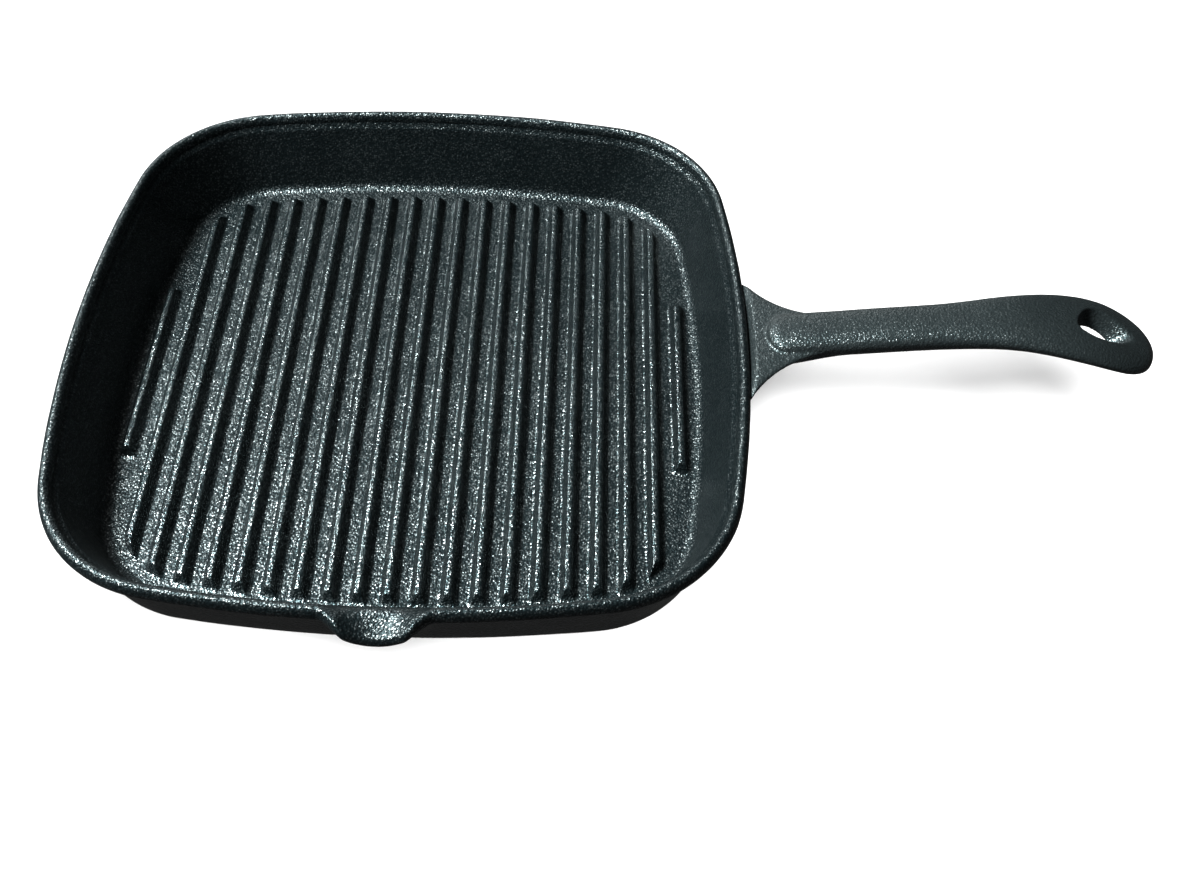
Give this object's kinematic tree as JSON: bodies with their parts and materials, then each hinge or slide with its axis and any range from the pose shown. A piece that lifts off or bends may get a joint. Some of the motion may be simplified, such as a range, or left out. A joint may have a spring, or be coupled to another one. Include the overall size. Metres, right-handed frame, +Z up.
{
  "type": "grill pan",
  "caption": "Square cast iron grill pan with rounded corners, a ribbed floor, a low flared wall, a pouring spout on one side and an arched handle with a hanging hole.",
  "frame": {"origin": "middle of the flat underside, under the centre of the square pan", "axes": "+X from the pan's centre towards the handle, +Y towards the side without a spout, +Z up out of the pan"},
  "size_m": [0.4334, 0.2779, 0.0545],
  "materials": {
    "body": "satin black, fine sand-cast grain",
    "ribs": "satin black, fine sand-cast grain, slightly rubbed crests",
    "handle": "satin black, fine sand-cast grain"
  },
  "bodies": {
    "root": {"pan_body": "body", "grill_rib_01": "ribs", "grill_rib_02": "ribs", "grill_rib_03": "ribs", "grill_rib_04": "ribs", "grill_rib_05": "ribs", "grill_rib_06": "ribs", "grill_rib_07": "ribs", "grill_rib_08": "ribs", "grill_rib_09": "ribs", "grill_rib_10": "ribs", "grill_rib_11": "ribs", "grill_rib_12": "ribs", "grill_rib_13": "ribs", "grill_rib_14": "ribs", "grill_rib_15": "ribs", "grill_rib_16": "ribs", "grill_rib_17": "ribs", "grill_rib_18": "ribs", "grill_rib_19": "ribs", "grill_rib_20": "ribs", "grill_rib_21": "ribs", "handle_cradle": "handle", "handle": "handle"}
  },
  "joints": []
}
